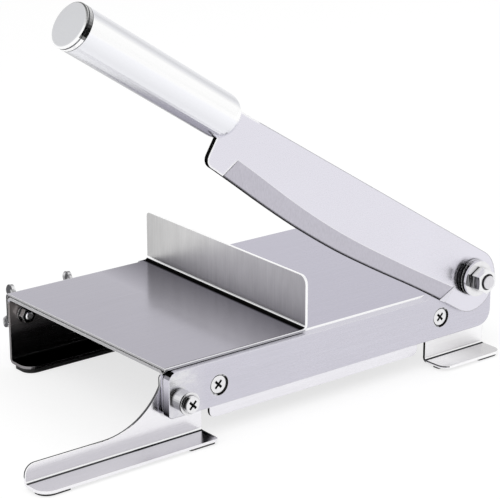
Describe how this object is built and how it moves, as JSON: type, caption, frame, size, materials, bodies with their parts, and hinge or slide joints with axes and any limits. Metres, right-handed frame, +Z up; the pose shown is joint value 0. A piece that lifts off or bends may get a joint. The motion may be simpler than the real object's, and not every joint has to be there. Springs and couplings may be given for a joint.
{
  "type": "hand-lever bone chopper",
  "caption": "Benchtop hand-lever bone chopper: bent steel table on feet, fixed cutter bar, pivoted blade with a tube handle, and a sliding fence plate clamped by wing bolts.",
  "frame": {"origin": "centre of the footprint at the underside of the rubber pads, blade open at its rest angle", "axes": "+X along the cutter bar towards the pivot, +Y from the cutting side to the far side, +Z up"},
  "size_m": [0.325, 0.1944, 0.2455],
  "materials": {
    "brushed_sheet": "brushed stainless sheet",
    "brushed_bar": "fine satin stainless bar",
    "blade_steel": "satin with a ground bevel",
    "polished_tube": "polished stainless tube",
    "bright_hardware": "bright fasteners",
    "black_rubber": "matt"
  },
  "bodies": {
    "frame": {"base_table": "brushed_sheet", "cutter_bar": "brushed_bar", "near_left_foot": "brushed_sheet", "near_right_foot": "brushed_sheet", "near_left_pad_outer": "black_rubber", "near_left_pad_inner": "black_rubber", "near_right_pad_outer": "black_rubber", "near_right_pad_inner": "black_rubber", "far_rubber_strip": "black_rubber", "bar_screw_left": "bright_hardware", "bar_screw_left_washer": "bright_hardware", "bar_screw_left_nut": "bright_hardware", "bar_screw_right": "bright_hardware", "bar_screw_right_washer": "bright_hardware", "bar_screw_right_nut": "bright_hardware", "stop_screw": "bright_hardware", "stop_screw_front_washer": "bright_hardware", "stop_sleeve": "bright_hardware", "pivot_bolt": "bright_hardware", "pivot_flat_washer": "bright_hardware", "pivot_spring_washer": "bright_hardware", "pivot_nut": "bright_hardware"},
    "blade_arm": {"blade": "blade_steel", "handle_tube": "polished_tube", "handle_end_cap": "polished_tube"},
    "fence": {"fence_plate": "brushed_sheet", "wing_washer_left": "bright_hardware", "wing_washer_right": "bright_hardware", "clamp_washer_left": "bright_hardware", "clamp_washer_right": "bright_hardware", "clamp_nut_left": "bright_hardware", "clamp_nut_right": "bright_hardware"},
    "wing_left": {"wing_bolt_left": "bright_hardware"},
    "wing_right": {"wing_bolt_right": "bright_hardware"}
  },
  "joints": [
    {"name": "blade_hinge", "type": "hinge", "parent": "frame", "child": "blade_arm", "pos_m": [0.1405, -0.08057, 0.0525], "axis": [0, 1, 0], "range_deg": [-31.8, 58.4]},
    {"name": "fence_slide", "type": "slide", "parent": "frame", "child": "fence", "axis": [1, 0, 0], "range_m": [0, 0.08]},
    {"name": "wing_left_turn", "type": "hinge", "parent": "fence", "child": "wing_left", "pos_m": [-0.0684, 0.08103, 0.03205], "axis": [0, 1, 0], "range_deg": [0, 360]},
    {"name": "wing_right_turn", "type": "hinge", "parent": "fence", "child": "wing_right", "pos_m": [-0.0284, 0.08103, 0.03205], "axis": [0, 1, 0], "range_deg": [0, 360]}
  ]
}
